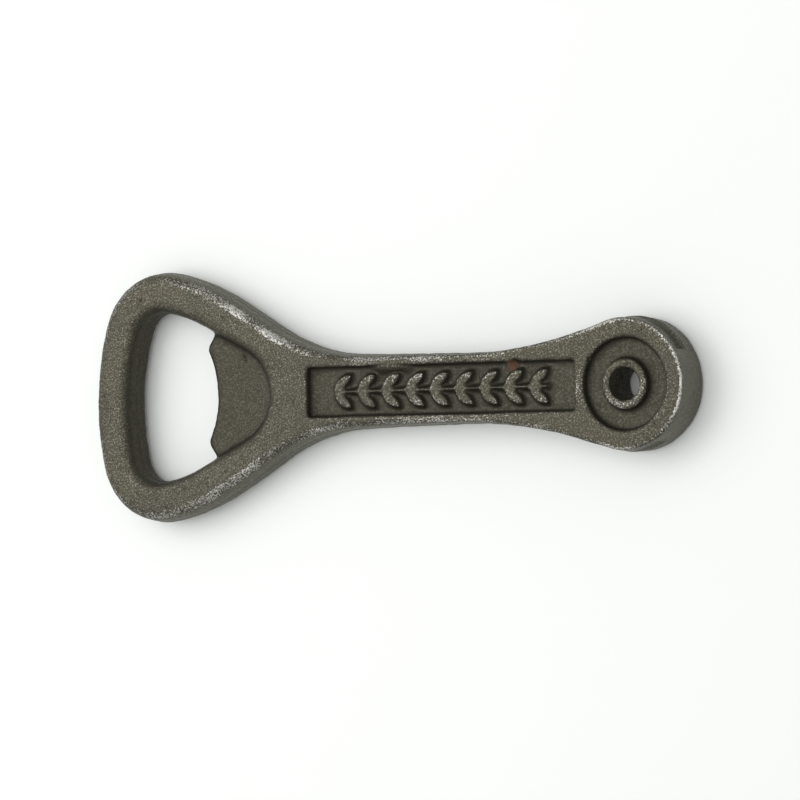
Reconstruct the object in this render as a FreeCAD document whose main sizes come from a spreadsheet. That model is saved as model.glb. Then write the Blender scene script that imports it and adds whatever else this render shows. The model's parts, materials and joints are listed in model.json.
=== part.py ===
"""Cast-iron bottle opener: one casting with a head loop, a lip web, a handle and a round end boss.

The casting lies flat with its long axis on X, the head towards -X and the boss towards +X.
Its underside rests at z = 0, and the origin is under the middle of its outline. The mould
parts at mid-height, so the outer walls draft away from that plane both ways.
"""

import FreeCAD, Part

import math
import os

from Sketcher import Constraint

V = FreeCAD.Vector

DIMENSIONS = {
    # Whole casting
    "overall_length": 132.4,
    "thickness": 8.4,
    "draft_angle": 1.5,
    # Round boss with its hanging hole
    "boss_radius": 12.4,
    "boss_recess_radius": 8.55,
    "recess_depth": 1.8,
    "hub_radius": 4.75,
    "hole_radius": 3.0,
    # Handle, narrowest beside the flare and slightly wider at the neck
    "waist_width": 13.2,
    "neck_width": 14.1,
    "flare_radius": 92.0,
    "flare_centre_x": 19.0,
    "neck_radius": 43.0,
    "neck_centre_x": -2.5,
    # Head loop, whose end leans a little to one side
    "flank_span": 50.4,
    "widest_x": -57.3,
    "flank_radius": 46.0,
    "corner_radius": 13.7,
    "end_radius": 52.5,
    "end_lean": 1.8,
    "arm_width": 8.0,
    "nose_x": -25.1,
    "nose_radius": 9.5,
    # Lip web that lifts the cap
    "web_thickness": 3.0,
    "lip_x": -38.45,
    "lip_radius": 18.0,
    "horn_half_width": 9.2,
    "horn_radius": 1.1,
    "lip_edge": 0.5,
    "web_root_x": -36.6,
    "web_root_half_width": 15.0,
    "web_back_x": -19.7,
    "web_back_half_width": 6.5,
    # Panel in the handle, with its raised ornament
    "panel_left_x": -15.4,
    "panel_right_x": 43.4,
    "panel_width": 9.4,
    "stem_width": 1.1,
    "leaf_count": 9,
    "leaf_pitch": 5.4,
    "leaf_length": 4.6,
    "leaf_foot": 0.4,
    "leaf_tip": 3.3,
    "leaf_radius": 3.6,
    "leaf_rise": 1.3,
    "leaf_draft": 14.0,
    # Roundings; the outer one shrinks along the neck, from the head's to the handle's
    "head_edge": 2.4,
    "handle_edge": 0.7,
    "shrink_from_x": -33.7,
    "shrink_to_x": 4.3,
    "loop_edge": 2.4,
    "rim_edge": 0.4,
}

MIDDLE = "dimensions.thickness / 2"
ROW_LENGTH = "(dimensions.leaf_count - 1) * dimensions.leaf_pitch + dimensions.leaf_length"
PANEL_MIDDLE = "(dimensions.panel_left_x + dimensions.panel_right_x) / 2"
ROW_START = f"{PANEL_MIDDLE} - ({ROW_LENGTH}) / 2"
ROW_END = f"{PANEL_MIDDLE} + ({ROW_LENGTH}) / 2"
TINY = 1e-4
LENGTH_SLACK = 0.01

# The sketch solver starts with the loop corner's centre this far in from the widest point.
CORNER_GUESS = 2.0


def make_sheet(doc):
    """Keep the driving dimensions in a spreadsheet, one named cell each."""
    sheet = doc.addObject("Spreadsheet::Sheet", "dimensions")
    for row, (name, size) in enumerate(DIMENSIONS.items(), start=1):
        sheet.set(f"A{row}", name)
        sheet.set(f"B{row}", str(size))
        sheet.setAlias(f"B{row}", name)
    doc.recompute()
    return sheet


def origin_feature(body, role):
    return next(f for f in body.Origin.OriginFeatures if f.Role == role)


def make_sketch(body, name, height):
    """Make a sketch parallel to the body's XY plane, at a height given as an expression."""
    sketch = body.newObject("Sketcher::SketchObject", name)
    sketch.AttachmentSupport = (origin_feature(body, "XY_Plane"), [""])
    sketch.MapMode = "FlatFace"
    sketch.setExpression("AttachmentOffset.Base.z", height)
    return sketch


def bind(sketch, constraint, name, expression):
    """Add a named dimension to a sketch and bind it to an expression."""
    index = sketch.addConstraint(constraint)
    sketch.renameConstraint(index, name)
    sketch.setExpression(f"Constraints.{name}", expression)


def on_circle(centre, radius, degrees):
    angle = math.radians(degrees)
    return centre + V(math.cos(angle), math.sin(angle), 0) * radius


def mirror_half(pieces):
    """The same pieces below the X axis, in reverse order, so that the chain goes on."""
    return [p and (V(p[0].x, -p[0].y, 0), p[1], -p[3], -p[2]) for p in reversed(pieces)]


def draw_chain(sketch, pieces):
    """Draw a closed chain of arcs and straights, each tangent to the next.

    An arc is (centre, radius, first angle, last angle) in degrees, clockwise when the last angle
    is the smaller. None is a straight between its neighbours. The angles only start the solver.
    """
    ends = [p and [on_circle(p[0], p[1], angle) for angle in p[2:]] for p in pieces]
    for index, piece in enumerate(pieces):
        following = (index + 1) % len(pieces)
        if piece is None:
            sketch.addGeometry(Part.LineSegment(ends[index - 1][1], ends[following][0]))
            continue
        centre, radius, first, last = piece
        low, high = sorted((math.radians(first), math.radians(last)))
        circle = Part.Circle(centre, V(0, 0, 1), radius)
        sketch.addGeometry(Part.ArcOfCircle(circle, low, high))
    clockwise = [p is not None and p[3] < p[2] for p in pieces]
    for index in range(len(pieces)):
        following = (index + 1) % len(pieces)
        leaving = 1 if clockwise[index] else 2
        arriving = 2 if clockwise[following] else 1
        sketch.addConstraint(Constraint("Tangent", index, leaving, following, arriving))


def pin_arc(sketch, arc, name, centre_x, centre_y, radius):
    """Bind an arc's centre and radius; a centre on the X axis needs no height."""
    centre = sketch.Geometry[arc].Center
    if centre_y is None:
        sketch.addConstraint(Constraint("PointOnObject", arc, 3, -1))
    else:
        y_limit = Constraint("DistanceY", -1, 1, arc, 3, centre.y)
        bind(sketch, y_limit, f"{name}_centre_y", centre_y)
    x_limit = Constraint("DistanceX", -1, 1, arc, 3, centre.x)
    bind(sketch, x_limit, f"{name}_centre_x", centre_x)
    size = Constraint("Radius", arc, sketch.Geometry[arc].Radius)
    bind(sketch, size, f"{name}_radius", radius)


def match_arc(sketch, arc, twin):
    """Make one arc the mirror image of another across the X axis."""
    sketch.addConstraint(Constraint("Symmetric", arc, 3, twin, 3, -1))
    sketch.addConstraint(Constraint("Equal", arc, twin))


def head_arcs(d, inset):
    """Flank and corner arcs of the upper half and the end arc, set in from the outline."""
    flank = V(d["widest_x"], d["flank_span"] / 2 - d["flank_radius"], 0)
    corner_y = flank.y + d["flank_radius"] - d["corner_radius"]
    corner = V(d["widest_x"] + CORNER_GUESS, corner_y, 0)
    end = V(d["end_radius"] - d["overall_length"] / 2, -d["end_lean"], 0)
    return [
        (flank, d["flank_radius"] - inset, 60, 92),
        (corner, d["corner_radius"] - inset, 92, 165),
    ], (end, d["end_radius"] - inset, 165, 195)


def pin_head(sketch, flank, inset):
    """Bind the five arcs of the head, which start at the upper flank, to the sheet."""
    corner, end, low_corner, low_flank = flank + 1, flank + 2, flank + 3, flank + 4
    less = f" - {inset}" if inset else ""
    pin_arc(
        sketch,
        flank,
        "flank",
        "dimensions.widest_x",
        "dimensions.flank_span / 2 - dimensions.flank_radius",
        "dimensions.flank_radius" + less,
    )
    pin_arc(
        sketch,
        end,
        "end",
        "dimensions.end_radius - dimensions.overall_length / 2",
        "-dimensions.end_lean",
        "dimensions.end_radius" + less,
    )
    size = Constraint("Radius", corner, sketch.Geometry[corner].Radius)
    bind(sketch, size, "corner_radius", "dimensions.corner_radius" + less)
    sketch.addConstraint(Constraint("Equal", corner, low_corner))
    match_arc(sketch, flank, low_flank)


def draw_outline(sketch, d):
    """Outer outline, counter-clockwise from the boss round the head and back."""
    boss = V(d["overall_length"] / 2 - d["boss_radius"], 0, 0)
    flare = V(d["flare_centre_x"], d["waist_width"] / 2 + d["flare_radius"], 0)
    neck = V(d["neck_centre_x"], d["neck_width"] / 2 + d["neck_radius"], 0)
    head, end = head_arcs(d, 0)
    upper = [
        None,
        (flare, d["flare_radius"], 284, 269),
        None,
        (neck, d["neck_radius"], 269, 240),
        None,
        *head,
    ]
    pieces = [(boss, d["boss_radius"], -104, 104), *upper, end, *mirror_half(upper)]
    draw_chain(sketch, pieces)
    pin_arc(
        sketch,
        0,
        "boss",
        "dimensions.overall_length / 2 - dimensions.boss_radius",
        None,
        "dimensions.boss_radius",
    )
    pin_arc(
        sketch,
        2,
        "flare",
        "dimensions.flare_centre_x",
        "dimensions.waist_width / 2 + dimensions.flare_radius",
        "dimensions.flare_radius",
    )
    pin_arc(
        sketch,
        4,
        "neck",
        "dimensions.neck_centre_x",
        "dimensions.neck_width / 2 + dimensions.neck_radius",
        "dimensions.neck_radius",
    )
    pin_head(sketch, 6, "")
    match_arc(sketch, 4, len(pieces) - 4)
    match_arc(sketch, 2, len(pieces) - 2)


def draw_loop(sketch, d):
    """Inside of the head loop: the outline set in by the arm's width, and closed by a nose."""
    nose = V(d["nose_x"] - d["nose_radius"], 0, 0)
    head, end = head_arcs(d, d["arm_width"])
    upper = [None, *head]
    draw_chain(sketch, [(nose, d["nose_radius"], -60, 60), *upper, end, *mirror_half(upper)])
    pin_arc(
        sketch,
        0,
        "nose",
        "dimensions.nose_x - dimensions.nose_radius",
        None,
        "dimensions.nose_radius",
    )
    pin_head(sketch, 2, "dimensions.arm_width")


def draw_web(sketch, d):
    """Outline of the lip web: a hollow lip between two horns, and a back buried in the casting.

    Each horn slopes back into the loop's arm, which leaves a notch beside it.
    """
    centre = V(d["lip_x"] - d["lip_radius"], 0, 0)
    reach = math.asin(d["horn_half_width"] / d["lip_radius"])
    horn = on_circle(centre, d["lip_radius"], math.degrees(reach))
    root = V(d["web_root_x"], d["web_root_half_width"], 0)
    back = V(d["web_back_x"], d["web_back_half_width"], 0)
    corners = [horn, root, back]
    corners += [V(point.x, -point.y, 0) for point in reversed(corners)]
    for start, end in zip(corners, corners[1:]):
        sketch.addGeometry(Part.LineSegment(start, end))
    circle = Part.Circle(centre, V(0, 0, 1), d["lip_radius"])
    lip = sketch.addGeometry(Part.ArcOfCircle(circle, -reach, reach))
    for index in range(lip):
        sketch.addConstraint(Constraint("Coincident", index, 2, index + 1, 1))
    sketch.addConstraint(Constraint("Coincident", lip, 2, 0, 1))
    sketch.addConstraint(Constraint("Symmetric", 1, 1, 3, 2, -1))
    sketch.addConstraint(Constraint("Symmetric", 2, 1, 2, 2, -1))
    sketch.addConstraint(Constraint("Vertical", lip, 1, lip, 2))
    pin_arc(
        sketch,
        lip,
        "lip",
        "dimensions.lip_x - dimensions.lip_radius",
        None,
        "dimensions.lip_radius",
    )
    horn_y = Constraint("DistanceY", -1, 1, 0, 1, horn.y)
    bind(sketch, horn_y, "horn_y", "dimensions.horn_half_width")
    pin_point(sketch, 1, 1, "root", "dimensions.web_root_x", "dimensions.web_root_half_width")
    pin_point(sketch, 2, 1, "back", "dimensions.web_back_x", "dimensions.web_back_half_width")


def pin_point(sketch, geometry, end, name, x, y):
    """Bind both coordinates of a point that is off both axes."""
    point = sketch.getPoint(geometry, end)
    bind(sketch, Constraint("DistanceX", -1, 1, geometry, end, point.x), f"{name}_x", x)
    bind(sketch, Constraint("DistanceY", -1, 1, geometry, end, point.y), f"{name}_y", y)


def row_start(d):
    length = (d["leaf_count"] - 1) * d["leaf_pitch"] + d["leaf_length"]
    return (d["panel_left_x"] + d["panel_right_x"] - length) / 2


def draw_rectangle(sketch, left, right, width):
    """Rectangle centred on the X axis; each size is a pair of its value and its expression."""
    half = width[0] / 2
    corners = [V(left[0], half, 0), V(left[0], -half, 0), V(right[0], -half, 0), V(right[0], half, 0)]
    for index in range(4):
        following = (index + 1) % 4
        sketch.addGeometry(Part.LineSegment(corners[index], corners[following]))
    for index in range(4):
        sketch.addConstraint(Constraint("Coincident", index, 2, (index + 1) % 4, 1))
    sketch.addConstraint(Constraint("Symmetric", 0, 1, 0, 2, -1))
    sketch.addConstraint(Constraint("Horizontal", 1))
    sketch.addConstraint(Constraint("Vertical", 2))
    sketch.addConstraint(Constraint("Horizontal", 3))
    bind(sketch, Constraint("DistanceX", -1, 1, 0, 1, left[0]), "left", left[1])
    bind(sketch, Constraint("DistanceX", -1, 1, 2, 1, right[0]), "right", right[1])
    bind(sketch, Constraint("DistanceY", 0, 2, 0, 1, width[0]), "width", width[1])


def draw_rings(sketch, d, radii):
    """Concentric circles about the boss centre, one for each named radius."""
    centre = V(d["overall_length"] / 2 - d["boss_radius"], 0, 0)
    for index, name in enumerate(radii):
        sketch.addGeometry(Part.Circle(centre, V(0, 0, 1), d[name]))
        if index == 0:
            sketch.addConstraint(Constraint("PointOnObject", 0, 3, -1))
            away = Constraint("DistanceX", -1, 1, 0, 3, centre.x)
            bind(sketch, away, "boss_x", "dimensions.overall_length / 2 - dimensions.boss_radius")
        else:
            sketch.addConstraint(Constraint("Coincident", 0, 3, index, 3))
        bind(sketch, Constraint("Radius", index, d[name]), name, f"dimensions.{name}")


def draw_leaves(sketch, d):
    """Two pointed leaves at the stem's first station, one each side, each between two arcs."""
    start = row_start(d)
    for side in (1, -1):
        foot = V(start, side * d["leaf_foot"], 0)
        tip = V(start + d["leaf_length"], side * d["leaf_tip"], 0)
        chord = tip - foot
        middle = (foot + tip) / 2
        half = chord.Length / 2
        bulge = d["leaf_radius"] - math.sqrt(d["leaf_radius"] ** 2 - half**2)
        right = V(chord.y, -chord.x, 0) / chord.Length * bulge
        first = sketch.addGeometry(Part.Arc(foot, middle + right, tip))
        second = sketch.addGeometry(Part.Arc(tip, middle - right, foot))
        sketch.addConstraint(Constraint("Coincident", first, 2, second, 1))
        sketch.addConstraint(Constraint("Coincident", second, 2, first, 1))
        sketch.addConstraint(Constraint("Equal", first, second))
    sketch.addConstraint(Constraint("Symmetric", 0, 1, 2, 1, -1))
    sketch.addConstraint(Constraint("Symmetric", 0, 2, 2, 2, -1))
    sketch.addConstraint(Constraint("Equal", 0, 2))
    size = Constraint("Radius", 0, d["leaf_radius"])
    bind(sketch, size, "leaf_radius", "dimensions.leaf_radius")
    pin_point(sketch, 0, 1, "foot", ROW_START, "dimensions.leaf_foot")
    pin_point(sketch, 0, 2, "tip", f"{ROW_START} + dimensions.leaf_length", "dimensions.leaf_tip")


def check_sketch(sketch):
    if sketch.solve() != 0 or not sketch.FullyConstrained:
        raise RuntimeError(f"{sketch.Name} is not fully constrained")


def extrude(body, kind, name, sketch, length, taper=None, **settings):
    """Pad or pocket a finished sketch, and make sure that it adds or removes metal."""
    before = body.Tip.Shape.Volume if body.Tip else 0.0
    body.Document.recompute()
    check_sketch(sketch)
    feature = body.newObject(f"PartDesign::{kind}", name)
    feature.Profile = sketch
    feature.setExpression("Length", length)
    if taper:
        feature.setExpression("TaperAngle", taper)
    for setting, value in settings.items():
        setattr(feature, setting, value)
    body.Document.recompute()
    change = feature.Shape.Volume - before
    if kind == "Pocket":
        change = -change
    if change <= 0:
        raise RuntimeError(f"{name} missed the casting")
    return feature


def edge_numbers(shape, edges):
    """Numbers of these edges in the shape's own list, which starts at 1."""
    return [n for n, edge in enumerate(shape.Edges, 1) if any(edge.isSame(e) for e in edges)]


def round_edges(body, name, edges, radius):
    """Round edges of the body's newest feature by one radius."""
    base = body.Tip
    if not edges:
        raise RuntimeError(f"{name} has no edges")
    feature = body.newObject("PartDesign::Fillet", name)
    feature.Base = (base, [f"Edge{n}" for n in edge_numbers(base.Shape, edges)])
    feature.setExpression("Radius", radius)
    body.Document.recompute()


def lies_at(shape, height):
    box = shape.BoundBox
    return abs(box.ZMin - height) < TINY and abs(box.ZMax - height) < TINY


def rims_at(shape, height):
    """Edges round the outside of the main face at a height, and of each hole in that face."""
    face = max((f for f in shape.Faces if lies_at(f, height)), key=lambda f: f.Area)
    holes = [wire for wire in face.Wires if not wire.isSame(face.OuterWire)]
    return face.OuterWire.Edges, [wire.Edges for wire in holes]


def add_halves(body, d):
    """Both halves of the mould's outline and of the loop, each drafted from the parting plane."""
    outline = make_sketch(body, "outline", MIDDLE)
    draw_outline(outline, d)
    inward = "-dimensions.draft_angle"
    extrude(body, "Pad", "upper_half", outline, MIDDLE, inward)
    extrude(body, "Pad", "lower_half", outline, MIDDLE, inward, Reversed=True)
    loop = make_sketch(body, "loop", MIDDLE)
    draw_loop(loop, d)
    outward = "dimensions.draft_angle"
    extrude(body, "Pocket", "loop_above", loop, MIDDLE, outward, Reversed=True)
    extrude(body, "Pocket", "loop_below", loop, MIDDLE, outward)


def add_web(body, d):
    """Thin web across the back of the loop, with rounded horns and a rounded lip."""
    sketch = make_sketch(body, "web", MIDDLE)
    draw_web(sketch, d)
    extrude(body, "Pad", "lip_web", sketch, "dimensions.web_thickness", SideType="Symmetric")
    height = d["web_thickness"]
    horns = [e for e in body.Tip.Shape.Edges if abs(e.BoundBox.ZLength - height) < TINY]
    round_edges(body, "horn_rounding", horns, "dimensions.horn_radius")
    levels = [(d["thickness"] + side * height) / 2 for side in (1, -1)]
    rims = [e for e in body.Tip.Shape.Edges for level in levels if lies_at(e, level)]
    front = [e for e in rims if max(v.X for v in e.Vertexes) < d["lip_x"]]
    lips = [e for e in front if e.Length > d["lip_edge"]]
    round_edges(body, "lip_rounding", lips, "dimensions.lip_edge")


def add_panel(body, d):
    """Sunk panel in the handle, with a stem and a row of leaf pairs standing on its floor."""
    panel = make_sketch(body, "panel", "dimensions.thickness")
    draw_rectangle(
        panel,
        (d["panel_left_x"], "dimensions.panel_left_x"),
        (d["panel_right_x"], "dimensions.panel_right_x"),
        (d["panel_width"], "dimensions.panel_width"),
    )
    extrude(body, "Pocket", "panel_recess", panel, "dimensions.recess_depth")
    floor = "dimensions.thickness - dimensions.recess_depth"
    start = row_start(d)
    stem = make_sketch(body, "stem", floor)
    draw_rectangle(
        stem,
        (start, ROW_START),
        (d["panel_left_x"] + d["panel_right_x"] - start, ROW_END),
        (d["stem_width"], "dimensions.stem_width"),
    )
    rise, inward = "dimensions.leaf_rise", "-dimensions.leaf_draft"
    extrude(body, "Pad", "stem_rib", stem, rise, inward)
    leaves = make_sketch(body, "leaves", floor)
    draw_leaves(leaves, d)
    pair = extrude(body, "Pad", "leaf_pair", leaves, rise, inward)
    row = body.newObject("PartDesign::LinearPattern", "leaf_row")
    row.Originals = [pair]
    row.Direction = (origin_feature(body, "X_Axis"), [""])
    row.setExpression("Length", "(dimensions.leaf_count - 1) * dimensions.leaf_pitch")
    row.setExpression("Occurrences", "dimensions.leaf_count")
    body.Tip = row
    body.Document.recompute()


def add_boss(body, d):
    """Ring-shaped recess in both faces of the boss, and the hole through its hub."""
    for side, height, upward in (("top", "dimensions.thickness", False), ("under", "0 mm", True)):
        ring = make_sketch(body, f"{side}_ring", height)
        draw_rings(ring, d, ("boss_recess_radius", "hub_radius"))
        depth = "dimensions.recess_depth"
        extrude(body, "Pocket", f"{side}_boss_recess", ring, depth, Reversed=upward)
    hole = make_sketch(body, "hole", "dimensions.thickness")
    draw_rings(hole, d, ("hole_radius",))
    extrude(body, "Pocket", "hanging_hole", hole, "dimensions.thickness")


def outer_radius(d, x):
    """Rounding of the outline at x: the head's, the handle's, or in between along the neck."""
    share = (x - d["shrink_from_x"]) / (d["shrink_to_x"] - d["shrink_from_x"])
    share = min(max(share, 0.0), 1.0)
    return d["head_edge"] + (d["handle_edge"] - d["head_edge"]) * share


def soften_outline(doc, body, d):
    """Round the outline and the loop on both faces."""
    shape = body.Shape
    radii = []
    for height in (0.0, d["thickness"]):
        outer, holes = rims_at(shape, height)
        loop = min(holes, key=lambda edges: edges[0].CenterOfMass.x)
        radii += [(number, d["loop_edge"], d["loop_edge"]) for number in edge_numbers(shape, loop)]
        for number in edge_numbers(shape, outer):
            ends = shape.Edges[number - 1].Vertexes
            radii.append((number, outer_radius(d, ends[0].X), outer_radius(d, ends[-1].X)))
    softened = doc.addObject("Part::Fillet", "softened_outline")
    softened.Base = body
    softened.Edges = radii
    doc.recompute()
    return softened


def soften_rims(doc, softened, d):
    """Round the rims of the panel, the boss recesses, the hub and its hole; all is then done."""
    shape = softened.Shape
    rims = []
    for height in (0.0, d["thickness"]):
        _, holes = rims_at(shape, height)
        rims += [e for edges in holes for e in edges if e.BoundBox.XMin > d["web_back_x"]]
        flats = [f for f in shape.Faces if lies_at(f, height)]
        hub = min(flats, key=lambda face: face.Area)
        rims += hub.Edges
    casting = doc.addObject("Part::Fillet", "opener_casting")
    casting.Base = softened
    casting.Edges = [(n, d["rim_edge"], d["rim_edge"]) for n in edge_numbers(shape, rims)]
    doc.recompute()
    return casting


def check_document(doc, casting):
    """Stop if any object failed or the casting is not one valid solid of the stated length."""
    failed = [o.Name for o in doc.Objects if {"Invalid", "Error"} & set(o.State)]
    if failed:
        raise RuntimeError(f"failed objects: {failed}")
    shape = casting.Shape
    if shape.isNull() or not shape.isValid() or len(shape.Solids) != 1:
        raise RuntimeError("the casting is not one valid solid")
    box = shape.optimalBoundingBox(False, False)
    if abs(box.XLength - DIMENSIONS["overall_length"]) > LENGTH_SLACK:
        raise RuntimeError("the casting is not as long as the sheet says")


def main():
    doc = FreeCAD.newDocument("bottle_opener")
    sheet = make_sheet(doc)
    d = {name: float(sheet.get(name)) for name in DIMENSIONS}
    body = doc.addObject("PartDesign::Body", "casting_body")
    add_halves(body, d)
    add_web(body, d)
    add_panel(body, d)
    add_boss(body, d)
    casting = soften_rims(doc, soften_outline(doc, body, d), d)
    check_document(doc, casting)
    os.makedirs("parts", exist_ok=True)
    casting.Shape.exportStep(f"parts/{casting.Label}.step")
    print(f"{casting.Label}: {casting.Shape.Volume / 1000:.2f} cm3")


main()
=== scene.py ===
import json
import math

import bmesh
import bpy
import numpy as np
from mathutils import Matrix, Vector


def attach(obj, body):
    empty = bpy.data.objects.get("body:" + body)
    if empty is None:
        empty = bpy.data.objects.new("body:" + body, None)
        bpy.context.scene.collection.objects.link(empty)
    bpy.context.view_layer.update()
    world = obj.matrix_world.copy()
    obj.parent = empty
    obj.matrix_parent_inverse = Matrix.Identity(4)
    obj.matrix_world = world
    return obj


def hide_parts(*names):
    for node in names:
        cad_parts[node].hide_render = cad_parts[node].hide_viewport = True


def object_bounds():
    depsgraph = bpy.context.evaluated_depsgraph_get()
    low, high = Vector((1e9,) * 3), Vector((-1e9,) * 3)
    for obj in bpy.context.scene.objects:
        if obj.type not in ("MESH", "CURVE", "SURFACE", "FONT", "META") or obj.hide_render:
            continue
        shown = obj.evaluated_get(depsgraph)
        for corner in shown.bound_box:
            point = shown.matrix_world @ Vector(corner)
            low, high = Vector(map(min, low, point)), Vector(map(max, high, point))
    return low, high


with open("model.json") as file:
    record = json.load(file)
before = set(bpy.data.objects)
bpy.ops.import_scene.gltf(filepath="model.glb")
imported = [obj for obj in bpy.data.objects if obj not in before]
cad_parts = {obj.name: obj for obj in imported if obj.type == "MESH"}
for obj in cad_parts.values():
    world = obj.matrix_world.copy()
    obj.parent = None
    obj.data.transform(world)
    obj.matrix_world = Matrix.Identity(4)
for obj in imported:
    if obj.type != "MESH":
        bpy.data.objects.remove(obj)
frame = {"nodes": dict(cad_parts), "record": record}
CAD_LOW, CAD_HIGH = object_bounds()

# A flat bottle opener: one grey-iron sand casting, knocked out, fettled and a little handled.
# The CAD solid gives its shape. This script copies that solid, turns the copy into an even fine
# mesh, softens it as sand does, and adds what the foundry and use leave behind: the parting line,
# the ground-off gate, pores, grain, worn edges and a touch of rust.
# Some of the colour is painted light and shade: highlights on the worn edges, glints among the grains,
# lighter outer walls, and shade in corners, pores, on the opening's wall and from the neck to the boss
# end.

MM = 0.001
CASTING = "opener_casting"

# The frame, in millimetres.
LOW = np.array(CAD_LOW) / MM
HIGH = np.array(CAD_HIGH) / MM
TOP = HIGH[2]
PARTING = TOP / 2
MOUNTS = {mount["name"]: np.array(mount["pos_m"]) / MM for mount in frame["record"]["mounts"]}
BOSS = MOUNTS["hanging_hole"]

# The casting's main features, in millimetres.
BOSS_RECESS = 8.55
PANEL_START = -15.4
PANEL_END = 43.4
PANEL_HALF_WIDTH = 4.7
SUNK_DEPTH = 1.8
OPENING = np.array([-50.0, 0.0])
OPENING_SIDE = -20.0
TINY = 1e-9

# The fine mesh: its cell, and how many times each kind of smoothing is repeated.
VOXEL = 0.34
WELD = VOXEL / 200
SOFT_PASSES = 3
LOOP_PASSES = 22
EDGE_PASSES = 6
BROAD_PASSES = 24
CALM_PASSES = 4
WIDE_PASSES = 50

# The loop's arms are rounded fully before the first place along the length, not at all after the second.
LOOP_REACH = (-34.0, -20.0)

# The sand's texture, all in millimetres: lump size and height of each layer, and the overall shrink.
WAVE = (9.0, 0.10)
LUMP = (2.4, 0.045)
GRAIN = (0.9, 0.045)
GRIT = (0.5, 0.040)
SKIN = 0.03

# Random seeds, one for each layer.
WAVE_SEED = 11
LUMP_SEED = 21
GRAIN_SEED = 31
GRIT_SEED = 32
WANDER_SEED = 41
RAGGED_SEED = 42
PORE_SEED = 51
PORE_EDGE_SEED = 52
BLOB_SEED = 61
PATCH_SEED = 71

# Blow holes and nicks: x, y, z of the middle, radius and depth.
PORES = (
    (-31.6, 7.1, 5.7, 0.42, 0.5),
    (-31.2, 6.6, 5.7, 0.3, 0.4),
    (-35.9, 9.6, 5.7, 0.25, 0.3),
    (-39.7, -20.8, 8.0, 0.3, 0.4),
    (-38.1, -20.2, 8.1, 0.35, 0.45),
    (-34.6, -14.9, 8.3, 0.3, 0.35),
    (-34.8, -13.9, 8.3, 0.22, 0.3),
    (-20.9, -11.8, 8.2, 0.35, 0.4),
    (-54.3, 19.1, 8.2, 0.35, 0.3),
    (-47.5, 18.0, 8.3, 0.22, 0.25),
    (46.6, 4.6, 8.0, 0.4, 0.5),
    (60.1, -7.3, 8.3, 0.25, 0.3),
    (57.6, 9.6, 8.3, 0.22, 0.25),
    (30.9, 4.6, 7.9, 0.7, 0.35),
)
PORE_CELL = 2.1
PORE_SHARE = (0.80, 1.00)
PORE_DEPTH = 0.35

# The gate was ground off the boss between these two angles, seen from above.
GATE_FROM = math.radians(-60)
GATE_TO = math.radians(30)
GATE_BLUR = 0.03
GATE_SWELL = 0.10

# Beside the gate the boss's upper half stands back on a shelf, which fades out round the boss.
SHELF = 0.55
SHELF_AFTER = (GATE_TO + 1.3, GATE_TO + 0.4)
SHELF_BEFORE = (GATE_FROM - 0.6, GATE_FROM - 0.2)
SHELF_BEFORE_SHARE = 0.6

# The mould's halves are a little out of line, and a ragged seam stands out between them.
MISMATCH = 0.11
SEAM_HEIGHT = 0.09
SEAM_WIDTH = 0.28

# A lump of iron where the sand broke away from the panel's upper wall.
BLOB = (3.2, 4.9)
BLOB_REACH = (4.2, 2.1)
BLOB_HEIGHT = 1.65

# Rust: x, y, z, reach and strength.
RUST = (
    (29.4, 4.1, 7.3, 1.5, 1.25),
    (60.1, -7.6, 8.3, 1.3, 0.5),
    (-59.0, -16.4, 8.0, 1.5, 0.5),
    (47.6, -4.6, 7.0, 0.8, 0.5),
    (12.0, -4.7, 6.8, 0.9, 0.5),
)


# ---------------------------------------------------------------- numbers on a mesh

def read_points(mesh):
    """The mesh's vertices in millimetres, one row each."""
    flat = np.zeros(len(mesh.vertices) * 3)
    mesh.vertices.foreach_get("co", flat)
    return flat.reshape(-1, 3) / MM


def write_points(mesh, points):
    mesh.vertices.foreach_set("co", (points * MM).ravel())
    mesh.update()


def read_normals(mesh):
    flat = np.zeros(len(mesh.vertices) * 3)
    mesh.vertices.foreach_get("normal", flat)
    return flat.reshape(-1, 3)


def read_edges(mesh):
    flat = np.zeros(len(mesh.edges) * 2, dtype=np.int64)
    mesh.edges.foreach_get("vertices", flat)
    return flat.reshape(-1, 2)


def smoothed(values, edges, passes):
    """Each value moved half way to its neighbours' mean, as many times as passes says."""
    one, two = edges.T
    count = len(values)
    degree = np.bincount(one, minlength=count) + np.bincount(two, minlength=count)
    columns = values.reshape(count, -1).copy()
    for _ in range(passes):
        for k in range(columns.shape[1]):
            column = columns[:, k]
            total = np.bincount(one, weights=column[two], minlength=count)
            total += np.bincount(two, weights=column[one], minlength=count)
            columns[:, k] = (column + total / degree) / 2
    return columns.reshape(values.shape)


def ramp(values, start, end):
    """0 below start, 1 above end, and a smooth rise between; start may be above end."""
    t = np.clip((values - start) / (end - start), 0, 1)
    return t * t * (3 - 2 * t)


def lattice_noise(points, cell, seed):
    """Smooth random values from -1 to 1 with lumps of about one cell."""
    random = np.random.default_rng(seed)
    scaled = (points - LOW) / cell + 1
    size = np.ceil((HIGH - LOW) / cell).astype(int) + 4
    lattice = random.uniform(-1, 1, size)
    base = np.clip(np.floor(scaled).astype(int), 0, size - 2)
    part = np.clip(scaled - base, 0, 1)
    part = part * part * (3 - 2 * part)
    total = np.zeros(len(points))
    for corner in range(8):
        step = np.array([corner & 1, corner >> 1 & 1, corner >> 2])
        weight = np.prod(np.where(step, part, 1 - part), axis=1)
        total += weight * lattice[tuple((base + step).T)]
    return total


def layered_noise(points, cell, seed, layers):
    total = np.zeros(len(points))
    for k in range(layers):
        total += lattice_noise(points, cell / 2 ** k, seed + k) / 2 ** k
    return total


def spot(points, middle, reach):
    """1 at the middle, falling smoothly to nothing at about twice the reach."""
    distance = np.linalg.norm(points - np.array(middle), axis=1)
    return np.exp(-(distance / reach) ** 2)


# ---------------------------------------------------------------- the casting's shape

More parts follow.
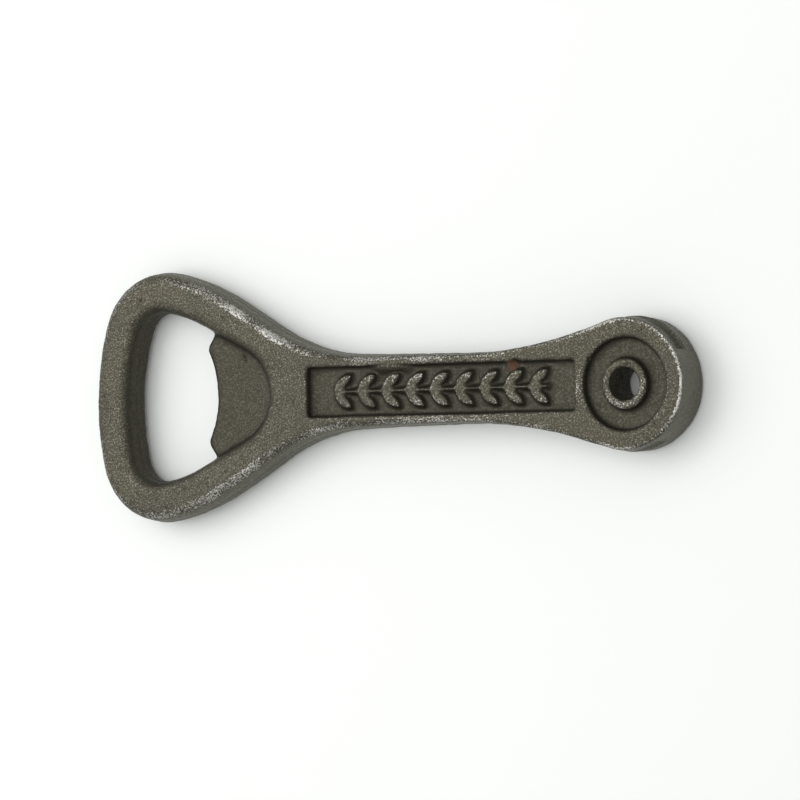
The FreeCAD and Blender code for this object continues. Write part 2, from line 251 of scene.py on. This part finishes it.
def fine_copy():
    """An even quad mesh of the CAD solid, in a new object."""
    mesh = frame["nodes"][CASTING].data.copy()
    mesh.materials.clear()
    work = bmesh.new()
    work.from_mesh(mesh)
    bmesh.ops.remove_doubles(work, verts=work.verts, dist=WELD * MM)
    work.to_mesh(mesh)
    work.free()
    body = bpy.data.objects.new("opener_body", mesh)
    bpy.context.scene.collection.objects.link(body)
    remesh = body.modifiers.new("even", "REMESH")
    remesh.mode = "VOXEL"
    remesh.voxel_size = VOXEL * MM
    view = bpy.context.evaluated_depsgraph_get()
    even = bpy.data.meshes.new_from_object(body.evaluated_get(view))
    body.modifiers.clear()
    body.data = even
    return body


def towards_opening(points, normals):
    """1 where the surface leans towards the middle of the opening."""
    inward = OPENING - points[:, :2]
    inward /= np.linalg.norm(inward, axis=1)[:, None] + TINY
    facing = np.sum(inward * normals[:, :2], axis=1)
    return ramp(facing, -0.05, 0.1) * (points[:, 0] < OPENING_SIDE)


def wall_masks(points, normals):
    """How far each vertex belongs to the outer wall, the opening's wall and the sunk places."""
    x, y = points[:, 0], points[:, 1]
    side = ramp(np.abs(normals[:, 2]), 0.75, 0.35)
    from_boss = np.hypot(x - BOSS[0], y - BOSS[1])
    in_boss = ramp(from_boss, BOSS_RECESS + 1.2, BOSS_RECESS + 0.4)
    along = ramp(x, PANEL_START - 1.0, PANEL_START) * ramp(x, PANEL_END + 1.0, PANEL_END)
    in_panel = along * ramp(np.abs(y), PANEL_HALF_WIDTH + 0.8, PANEL_HALF_WIDTH + 0.3)
    sunk = np.maximum(in_boss, in_panel)
    inner = side * towards_opening(points, normals)
    outer = side * (1 - sunk) * (1 - inner)
    return outer, inner, sunk


def boss_angle(points):
    return np.arctan2(points[:, 1] - BOSS[1], points[:, 0] - BOSS[0])


def gate_mask(points, outer):
    """The ground patch on the end of the boss, with a sharp upper end."""
    angle = boss_angle(points)
    starts = ramp(angle, GATE_FROM - 2 * GATE_BLUR, GATE_FROM + 2 * GATE_BLUR)
    ends = ramp(angle, GATE_TO + GATE_BLUR, GATE_TO - GATE_BLUR)
    return starts * ends * outer * (points[:, 0] > BOSS[0])


def shelf_depth(points):
    """How far the boss's upper half stands back beside the ground patch."""
    angle = boss_angle(points)
    beyond = points[:, 0] > BOSS[0] - 4
    after = ramp(angle, GATE_TO - GATE_BLUR, GATE_TO + GATE_BLUR) * ramp(angle, *SHELF_AFTER)
    before = ramp(angle, GATE_FROM + GATE_BLUR, GATE_FROM - GATE_BLUR) * ramp(angle, *SHELF_BEFORE)
    return SHELF * beyond * np.maximum(after, SHELF_BEFORE_SHARE * before)


def parting_step(points, outer, inner):
    """How far the upper half of each wall sits inside the lower half."""
    wander = 0.6 + 0.4 * lattice_noise(points, 14.0, WANDER_SEED)
    upper = ramp(points[:, 2], PARTING + 0.05, PARTING + 0.5)
    ragged = PARTING + 0.2 * lattice_noise(points, 3.0, RAGGED_SEED)
    seam = np.exp(-((points[:, 2] - ragged) / SEAM_WIDTH) ** 2)
    plain = MISMATCH * wander * upper - SEAM_HEIGHT * seam * (outer + inner)
    step = (outer + inner) * plain + outer * shelf_depth(points) * upper
    gate = gate_mask(points, outer)
    return step * (1 - gate) + GATE_SWELL * gate


def pore_depth(points, outer):
    """Named blow holes, and small ones scattered by chance."""
    depth = np.zeros(len(points))
    for x, y, z, radius, deep in PORES:
        depth = np.maximum(depth, deep * spot(points, (x, y, z), radius))
    chance = lattice_noise(points, PORE_CELL, PORE_SEED) * 0.8
    chance += lattice_noise(points, PORE_CELL / 3, PORE_EDGE_SEED) * 0.35
    depth += PORE_DEPTH * ramp(chance, *PORE_SHARE) * (1 - 0.5 * outer)
    return depth


def raise_blob(points):
    """The stray iron that half fills the panel's corner under its upper wall."""
    y, z = points[:, 1], points[:, 2]
    across = (points[:, 0] - BLOB[0]) / BLOB_REACH[0]
    away = np.abs(y - BLOB[1]) / BLOB_REACH[1]
    uneven = 1 + 0.25 * lattice_noise(points, 1.6, BLOB_SEED)
    lump = np.exp(-(across ** 4)) * ramp(away * uneven, 1.0, 0.15)
    floor = TOP - SUNK_DEPTH
    surface = floor + lump * BLOB_HEIGHT
    inside = (np.abs(y) < PANEL_HALF_WIDTH + 0.2) & (y > 0) & (z > floor - 0.4)
    raised = points.copy()
    raised[:, 2] = np.where(inside, np.maximum(z, surface), z)
    return raised


def crown_loop(points, edges):
    """The loop's arms, rounded over more than the handle."""
    share = ramp(points[:, 0], LOOP_REACH[1], LOOP_REACH[0])
    return points + share[:, None] * (smoothed(points, edges, LOOP_PASSES) - points)


def cast_surface(body):
    """Moves the fine mesh's vertices from the exact CAD surface to a sand casting's surface."""
    mesh = body.data
    edges = read_edges(mesh)
    points = raise_blob(read_points(mesh))
    points = smoothed(points, edges, SOFT_PASSES)
    points = crown_loop(points, edges)
    write_points(mesh, points)
    normals = read_normals(mesh)
    outer, inner, sunk = wall_masks(points, normals)
    calm = np.clip(1 - 0.45 * sunk - 0.4 * (outer + inner), 0.3, 1)
    offset = -SKIN - parting_step(points, outer, inner) - pore_depth(points, outer)
    offset += WAVE[1] * layered_noise(points, WAVE[0], WAVE_SEED, 2)
    offset += LUMP[1] * lattice_noise(points, LUMP[0], LUMP_SEED)
    offset += GRAIN[1] * calm * lattice_noise(points, GRAIN[0], GRAIN_SEED)
    offset += GRIT[1] * calm * lattice_noise(points, GRIT[0], GRIT_SEED)
    points = points + normals * offset[:, None]
    points = np.clip(points, LOW, HIGH)
    write_points(mesh, points)
    return points, edges


def put_attribute(mesh, name, values):
    layer = mesh.attributes.new(name, "FLOAT", "POINT")
    layer.data.foreach_set("value", np.clip(values, 0, 1).astype(np.float32))


def surface_normals(mesh, edges):
    """Normals without the grain, and broad ones that begin to lean well before an edge."""
    calm = smoothed(read_normals(mesh), edges, CALM_PASSES)
    wide = smoothed(calm, edges, WIDE_PASSES)
    wide /= np.linalg.norm(wide, axis=1)[:, None] + TINY
    return calm, wide


def edge_sharpness(points, edges, normals):
    """How far each vertex stands out from close around it, and that from farther around."""
    near = smoothed(points, edges, EDGE_PASSES)
    broad = smoothed(near, edges, BROAD_PASSES)
    sharp = smoothed(np.sum((points - near) * normals, axis=1), edges, 1)
    rounded = smoothed(np.sum((near - broad) * normals, axis=1), edges, 2)
    return sharp, rounded


def hollow_masks(points, sunk):
    """The lip web, and the floors of the web, the panel and the boss's recess."""
    x, z = points[:, 0], points[:, 2]
    web = ramp(x, -42.5, -41.5) * ramp(x, -16, -17) * ramp(z, TOP - 1.2, TOP - 1.9)
    floor = ramp(z, TOP - 0.5, TOP - 1.1) * np.clip(sunk + web, 0, 1)
    return web, floor


def shoulder_highlight_and_wear(points, wide, inner, outward):
    """The long rounded edges of the loop and the neck, which the hand rubs, with a painted highlight
    where they face outward.
    """
    x = points[:, 0]
    slope = ramp(wide[:, 2], 0.35, 0.65) * ramp(wide[:, 2], 0.995, 0.93)
    handled = ramp(x, -60, -40) * ramp(x, 12, -14)
    return 0.60 * slope * (1 - inner) * outward * handled


def rim_highlight_and_wear(points, calm, inner, sunk, outward):
    """The crisp top edges, worn and with a painted highlight, brightest round the end of the boss."""
    slope = ramp(calm[:, 2], 0.45, 0.65) * ramp(calm[:, 2], 0.985, 0.93)
    top_edge = slope * ramp(points[:, 2], TOP - 1.2, TOP - 0.8) * (1 - inner)
    at_boss = ramp(points[:, 0], BOSS[0] - 8, BOSS[0] - 3)
    return top_edge * (0.2 + 0.3 * outward * (1 - at_boss) + 0.6 * at_boss * (1 - sunk))


def worn_and_highlit_places(points, walls, floor, normals, sharpness):
    """Worn bright iron and painted highlights along the edges, from 0 to 1."""
    outer, inner, sunk = walls
    calm, wide = normals
    sharp, rounded = sharpness
    outward = ramp(wide[:, 1] * np.sign(points[:, 1]), 0.03, 0.15)
    worn_and_highlit = np.maximum(ramp(sharp, 0.07, 0.16), 0.45 * ramp(rounded, 0.06, 0.22))
    worn_and_highlit = np.maximum(worn_and_highlit, shoulder_highlight_and_wear(points, wide, inner, outward))
    worn_and_highlit = np.maximum(worn_and_highlit, rim_highlight_and_wear(points, calm, inner, sunk, outward))
    patchy = 0.75 + 0.45 * layered_noise(points, 7.0, PATCH_SEED, 3)
    upward = ramp(calm[:, 2], -0.2, 0.4)
    worn_and_highlit *= patchy * (0.3 + 0.7 * upward) * (1 - floor) * (1 - 0.2 * sunk)
    return worn_and_highlit * (1 - 0.85 * towards_opening(points, calm)) * (1 - 0.5 * outer)


def painted_shade_corners(points, outer, web, calm, rounded):
    """Painted shade in inside corners, along the lip's edge and on the shelf on the boss."""
    above = points[:, 2] - PARTING
    lip = web * ramp(calm[:, 0], -0.15, -0.5)
    shelf = 0.75 * ramp(shelf_depth(points), 0.1, 0.6) * outer
    shelf *= ramp(above, 0.2, 0.6) * ramp(above, 2.6, 1.6)
    inside = 0.4 * ramp(-rounded, 0.05, 0.2)
    return np.maximum(inside, np.maximum(lip, shelf))


def strongest_spot(points, places):
    """The strongest of several spots, each given as its middle, reach and strength."""
    strongest = np.zeros(len(points))
    for x, y, z, reach, strength in places:
        strongest = np.maximum(strongest, strength * spot(points, (x, y, z), reach))
    return strongest


def mark_surface(body, points, edges):
    """Vertex values for the material: worn edges with painted highlights, painted shade in corners,
    hollows with painted shade on the opening's wall and from the neck to the boss end, walls, gate,
    pores and rust.
    """
    mesh = body.data
    calm, wide = surface_normals(mesh, edges)
    walls = wall_masks(points, calm)
    outer, inner, sunk = walls
    web, floor = hollow_masks(points, sunk)
    sharpness = edge_sharpness(points, edges, calm)
    upward = ramp(calm[:, 2], -0.2, 0.4)
    # Painted shade: the skin is darkened from the neck to the boss end, where the light falls off.
    painted_falloff_shade = 0.3 * ramp(points[:, 0], -30, -15) * (1 - outer)
    pores = [(x, y, z, radius * 1.1, 1.0) for x, y, z, radius, _ in PORES]
    marks = {
        # Worn edges, partly painted highlights.
        "wear_and_highlight": worn_and_highlit_places(points, walls, floor, (calm, wide), sharpness),
        # Painted shade in the corners, on the lip's edge and on the boss's shelf.
        "corner": painted_shade_corners(points, outer, web, calm, sharpness[1]),
        # Darker hollow floors, plus painted shade on the opening's wall and from the neck to the boss
        # end.
        "floor": np.maximum(np.maximum(floor * upward, inner), painted_falloff_shade),
        "wall": outer,
        "gate": gate_mask(points, outer),
        # Painted shade: the pores are painted near black.
        "pore": ramp(strongest_spot(points, pores), 0.3, 0.75),
        "rust": strongest_spot(points, RUST),
    }
    for name, values in marks.items():
        put_attribute(mesh, name, values)
    mesh.shade_smooth()


# ---------------------------------------------------------------- the iron's look

# Colours are linear red, green and blue.
SKIN_DARK = (0.069, 0.064, 0.046)
SKIN_LIGHT = (0.093, 0.087, 0.066)
SKIN_CLOUD = (0.091, 0.081, 0.057)
# Darker skin for the hollow floors, also used as painted shade on the opening's wall and from the neck
# to the boss end.
HOLLOW_AND_SHADE = (0.056, 0.052, 0.037)
# Painted light: the outer walls are lighter than the skin, as if lit from the floor, and also greyer.
LIT_WALL = (0.120, 0.118, 0.094)
DARK_GRAIN = (0.026, 0.024, 0.017)
# Bright grains, partly painted glints.
BRIGHT_GRAIN_AND_GLINT = (0.25, 0.238, 0.197)
# Bright worn iron, also used for painted edge highlights.
WORN_IRON_AND_HIGHLIGHT = (0.54, 0.53, 0.50)
GROUND_IRON = (0.132, 0.128, 0.104)
# Painted shade for the corners, the lip's edge and the boss's shelf.
CORNER_SHADE = (0.02, 0.018, 0.014)
# Painted shade inside the pores.
PORE_SHADE = (0.010, 0.009, 0.007)
RUST_BROWN = (0.105, 0.046, 0.016)
CARD_DARK = (0.93, 0.94, 0.925)
CARD_LIGHT = (0.95, 0.96, 0.945)

# Sizes of the iron's speckles, in millimetres.
GRAIN_SIZE = 0.32
SPECK_SIZE = 0.22
MOTTLE_SIZE = 3.2
CLOUD_SIZE = 16.0
CARD_CLOUD_SIZE = 90.0


def fill_socket(tree, socket, value):
    """Link the socket to another one, or give it a value."""
    if isinstance(value, bpy.types.NodeSocket):
        tree.links.new(value, socket)
    elif isinstance(value, tuple):
        socket.default_value = (*value, 1.0)
    else:
        socket.default_value = value


def add_node(tree, kind, settings=None, **inputs):
    """A node with its settings; an input is named as its socket, or i and the socket's number."""
    node = tree.nodes.new(kind)
    for name, value in (settings or {}).items():
        setattr(node, name, value)
    for name, value in inputs.items():
        numbered = name[0] == "i" and name[1:].isdigit()
        fill_socket(tree, node.inputs[int(name[1:]) if numbered else name], value)
    return node


def attribute(tree, name):
    return add_node(tree, "ShaderNodeAttribute", {"attribute_name": name}).outputs["Fac"]


def maths(tree, operation, first, second=0.0):
    return add_node(tree, "ShaderNodeMath", {"operation": operation}, i0=first, i1=second).outputs[0]


def scaled(tree, value, factor):
    return maths(tree, "MULTIPLY", value, factor)


def between(tree, value, start, end, low=0.0, high=1.0):
    """value taken from start..end to low..high, and held there."""
    return add_node(tree, "ShaderNodeMapRange", {"interpolation_type": "SMOOTHSTEP"},
                    i0=value, i1=start, i2=end, i3=low, i4=high).outputs[0]


def blend_colour(tree, factor, first, second):
    """The first colour at factor 0, the second at 1."""
    node = add_node(tree, "ShaderNodeMix", {"data_type": "RGBA"}, i0=factor, i6=first, i7=second)
    return node.outputs[2]


def noise(tree, place, size, detail=2.0, roughness=0.5):
    """Noise with lumps of the given size in millimetres."""
    return add_node(tree, "ShaderNodeTexNoise", None, Vector=place, Scale=1 / (size * MM),
                    Detail=detail, Roughness=roughness).outputs["Fac"]


def skin_colour(tree, place, floor, wall):
    """The casting's skin: mottled, olive and darker in the hollows, darkened the same way as painted
    shade on the opening's wall and from the neck to the boss end, greyer and lighter on the outer walls
    as painted light.
    """
    mottle = noise(tree, place, MOTTLE_SIZE, 4.0, 0.6)
    cloud = noise(tree, place, CLOUD_SIZE, 3.0, 0.5)
    skin = blend_colour(tree, between(tree, mottle, 0.3, 0.7), SKIN_DARK, SKIN_LIGHT)
    skin = blend_colour(tree, between(tree, cloud, 0.35, 0.7), skin, SKIN_CLOUD)
    # Darker in the hollows, and painted shade on the opening's wall and from the neck to the boss end.
    skin = blend_colour(tree, floor, skin, HOLLOW_AND_SHADE)
    # Painted light: the outer walls are made lighter, and greyer.
    return blend_colour(tree, scaled(tree, wall, 0.8), skin, LIT_WALL), mottle


def marked_colour(tree, colour, grains, mottle, wear_and_highlight):
    """The skin with its worn places and painted highlights, ground gate, painted shade in the corners,
    and pores painted dark as shade.
    """
    # Worn places and painted highlights, broken up by the grains.
    worn_and_highlit = maths(tree, "ADD", wear_and_highlight, scaled(tree, grains, 2.4))
    gritty = maths(tree, "MULTIPLY", between(tree, worn_and_highlit, 1.50, 2.05), between(tree, wear_and_highlight, 0.02, 0.3))
    colour = blend_colour(tree, gritty, colour, WORN_IRON_AND_HIGHLIGHT)
    uneven = between(tree, mottle, 0.3, 0.65, 0.2, 0.9)
    ground = maths(tree, "MULTIPLY", attribute(tree, "gate"), uneven)
    colour = blend_colour(tree, ground, colour, GROUND_IRON)
    # Painted shade in the corners, on the lip's edge and on the boss's shelf.
    colour = blend_colour(tree, scaled(tree, attribute(tree, "corner"), 0.7), colour, CORNER_SHADE)
    # Painted shade: the pores go near black.
    return blend_colour(tree, attribute(tree, "pore"), colour, PORE_SHADE)


def iron_material():
    """Bare grey iron: dark skin with bright grains that are partly painted glints, silvery where handled
    and where highlights are painted, olive in the hollows.
    """
    material = bpy.data.materials.new("bare_cast_iron")
    material.use_nodes = True
    tree = material.node_tree
    shader = tree.nodes["Principled BSDF"]
    place = add_node(tree, "ShaderNodeTexCoord").outputs["Object"]
    grains = noise(tree, place, GRAIN_SIZE, 3.0, 0.7)
    specks = noise(tree, place, SPECK_SIZE, 2.0, 0.6)
    wear_and_highlight = attribute(tree, "wear_and_highlight")
    floor = attribute(tree, "floor")
    wall = attribute(tree, "wall")

    calm = maths(tree, "MAXIMUM", floor, scaled(tree, wall, 0.55))
    sparkle = maths(tree, "SUBTRACT", 1.0, scaled(tree, calm, 0.8))
    bright = maths(tree, "MULTIPLY", between(tree, grains, 0.52, 0.63), sparkle)
    dark = maths(tree, "MULTIPLY", between(tree, specks, 0.49, 0.38), sparkle)
    colour, mottle = skin_colour(tree, place, floor, wall)
    colour = blend_colour(tree, scaled(tree, dark, 0.7), colour, DARK_GRAIN)
    # Bright grains, partly painted glints.
    colour = blend_colour(tree, scaled(tree, bright, 0.58), colour, BRIGHT_GRAIN_AND_GLINT)
    colour = marked_colour(tree, colour, grains, mottle, wear_and_highlight)

    ragged_rust = maths(tree, "ADD", attribute(tree, "rust"), scaled(tree, grains, 0.8))
    rusty = between(tree, ragged_rust, 0.85, 1.15)
    colour = blend_colour(tree, scaled(tree, rusty, 0.8), colour, RUST_BROWN)
    tree.links.new(colour, shader.inputs["Base Color"])

    dull = between(tree, grains, 0.35, 0.65, 0.66, 0.40)
    dull = maths(tree, "SUBTRACT", dull, scaled(tree, wear_and_highlight, 0.16))
    dull = maths(tree, "ADD", dull, scaled(tree, rusty, 0.3))
    tree.links.new(dull, shader.inputs["Roughness"])
    metal = maths(tree, "SUBTRACT", 0.8, scaled(tree, rusty, 0.8))
    tree.links.new(metal, shader.inputs["Metallic"])

    height = maths(tree, "ADD", grains, scaled(tree, specks, 0.6))
    height = maths(tree, "MULTIPLY", height, maths(tree, "ADD", scaled(tree, sparkle, 0.8), 0.2))
    rough = add_node(tree, "ShaderNodeBump", None, Strength=0.7, Distance=0.10 * MM, Height=height)
    tree.links.new(rough.outputs["Normal"], shader.inputs["Normal"])
    return material


# ---------------------------------------------------------------- the studio

FLOOR_SIZE = 1.5
FLOOR_GAP = 0.05
CARD_ROUGHNESS = 0.9

# Each light: its name, place and size in metres, and power in watts.
LIGHTS = (
    ("key", (-0.42, 0.10, 0.52), 0.6, 1.6),
    ("overhead", (-0.08, 0.12, 0.75), 0.8, 2.1),
)
TENT_COLOUR = (0.98, 1.0, 0.985, 1.0)
TENT_STRENGTH = 0.60


def floor_material():
    """Pale matt card with a faint unevenness."""
    material = bpy.data.materials.new("pale_card")
    material.use_nodes = True
    tree = material.node_tree
    shader = tree.nodes["Principled BSDF"]
    place = add_node(tree, "ShaderNodeTexCoord").outputs["Object"]
    cloud = noise(tree, place, CARD_CLOUD_SIZE, 3.0, 0.5)
    colour = blend_colour(tree, cloud, CARD_DARK, CARD_LIGHT)
    tree.links.new(colour, shader.inputs["Base Color"])
    shader.inputs["Roughness"].default_value = CARD_ROUGHNESS
    return material


def add_floor():
    mesh = bpy.data.meshes.new("floor")
    work = bmesh.new()
    bmesh.ops.create_grid(work, x_segments=1, y_segments=1, size=FLOOR_SIZE)
    work.to_mesh(mesh)
    work.free()
    floor = bpy.data.objects.new("floor", mesh)
    floor.location.z = CAD_LOW.z - FLOOR_GAP * MM
    mesh.materials.append(floor_material())
    bpy.context.scene.collection.objects.link(floor)


def add_light(name, place, size, power):
    """A square soft box facing the frame's origin, under the middle of the opener."""
    light = bpy.data.lights.new(name, "AREA")
    light.shape = "SQUARE"
    light.size = size
    light.energy = power
    lamp = bpy.data.objects.new(name, light)
    lamp.location = place
    lamp.rotation_euler = (-Vector(place)).to_track_quat("-Z", "Y").to_euler()
    bpy.context.scene.collection.objects.link(lamp)


def light_studio():
    world = bpy.data.worlds.new("white_tent")
    world.use_nodes = True
    background = world.node_tree.nodes["Background"]
    background.inputs["Color"].default_value = TENT_COLOUR
    background.inputs["Strength"].default_value = TENT_STRENGTH
    bpy.context.scene.world = world
    for light in LIGHTS:
        add_light(*light)
    bpy.context.scene.view_settings.view_transform = "Standard"


# The camera looks down from beyond the boss, turned a little off the length and rolled a little.
CAMERA_HEIGHT = math.radians(57.78)
CAMERA_TURN = math.radians(-1.83)
CAMERA_ROLL = math.radians(0.618)
CAMERA_DISTANCE = 763.3 * MM
CAMERA_TARGET = Vector((0.425, -1.713, 0.0)) * MM
CAMERA_LENS = 180.0
SENSOR_WIDTH = 36.0


def add_camera():
    level = Vector((math.cos(CAMERA_TURN), math.sin(CAMERA_TURN), 0))
    upright = Vector((0, 0, 1))
    back = level * math.cos(CAMERA_HEIGHT) + upright * math.sin(CAMERA_HEIGHT)
    right = level * math.sin(CAMERA_HEIGHT) - upright * math.cos(CAMERA_HEIGHT)
    up = back.cross(right)
    rolled_right = right * math.cos(CAMERA_ROLL) + up * math.sin(CAMERA_ROLL)
    rolled_up = up * math.cos(CAMERA_ROLL) - right * math.sin(CAMERA_ROLL)
    camera = bpy.data.objects.new("camera", bpy.data.cameras.new("camera"))
    camera.data.lens = CAMERA_LENS
    camera.data.sensor_width = SENSOR_WIDTH
    place = CAMERA_TARGET + back * CAMERA_DISTANCE
    axes = Matrix((rolled_right, rolled_up, back)).transposed().to_4x4()
    camera.matrix_world = Matrix.Translation(place) @ axes
    bpy.context.scene.collection.objects.link(camera)
    bpy.context.scene.camera = camera


# ---------------------------------------------------------------- the scene

def add_opener():
    body = fine_copy()
    points, edges = cast_surface(body)
    mark_surface(body, points, edges)
    body.data.materials.append(iron_material())
    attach(body, "root")
    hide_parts(CASTING)


add_opener()
add_floor()
light_studio()
add_camera()
